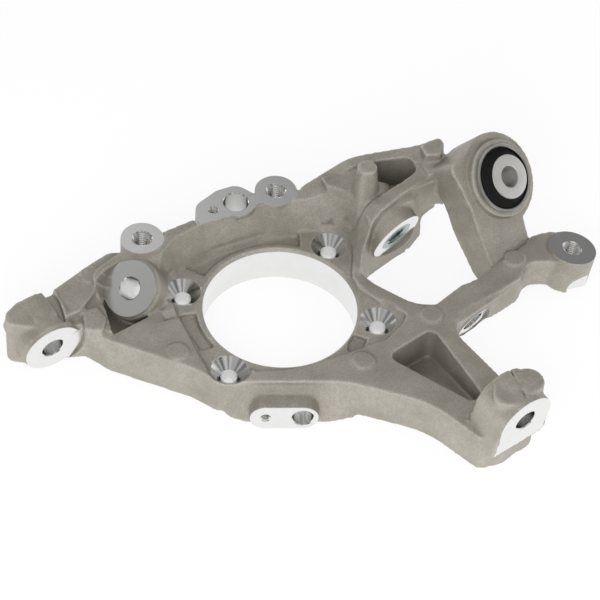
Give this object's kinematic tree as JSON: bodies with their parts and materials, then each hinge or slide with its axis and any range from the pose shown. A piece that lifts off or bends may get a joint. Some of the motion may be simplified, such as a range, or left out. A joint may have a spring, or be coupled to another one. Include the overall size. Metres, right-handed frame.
{
  "type": "steering knuckle",
  "caption": "Cast aluminium steering knuckle: a flat hub plate with arms to bored lugs, a window between the right-hand arms and a pressed-in rubber bush.",
  "frame": {"origin": "centre of the hub bore on the machined hub face", "axes": "+Z along the hub axis towards the car, +X along the long side of the hub bolt rectangle towards the side lug and the bush, +Y towards the rear wall with the caliper lugs"},
  "size_m": [0.3696, 0.2471, 0.0812],
  "materials": {
    "casting": "matte blasted casting",
    "steel": "satin",
    "rubber": "matte",
    "inner_sleeve": "satin",
    "insert_steel": "satin"
  },
  "bodies": {
    "root": {"knuckle_casting": "casting", "bush_outer_sleeve": "steel", "bush_rubber": "rubber", "bush_inner_sleeve": "inner_sleeve", "threaded_insert": "insert_steel"}
  },
  "joints": []
}
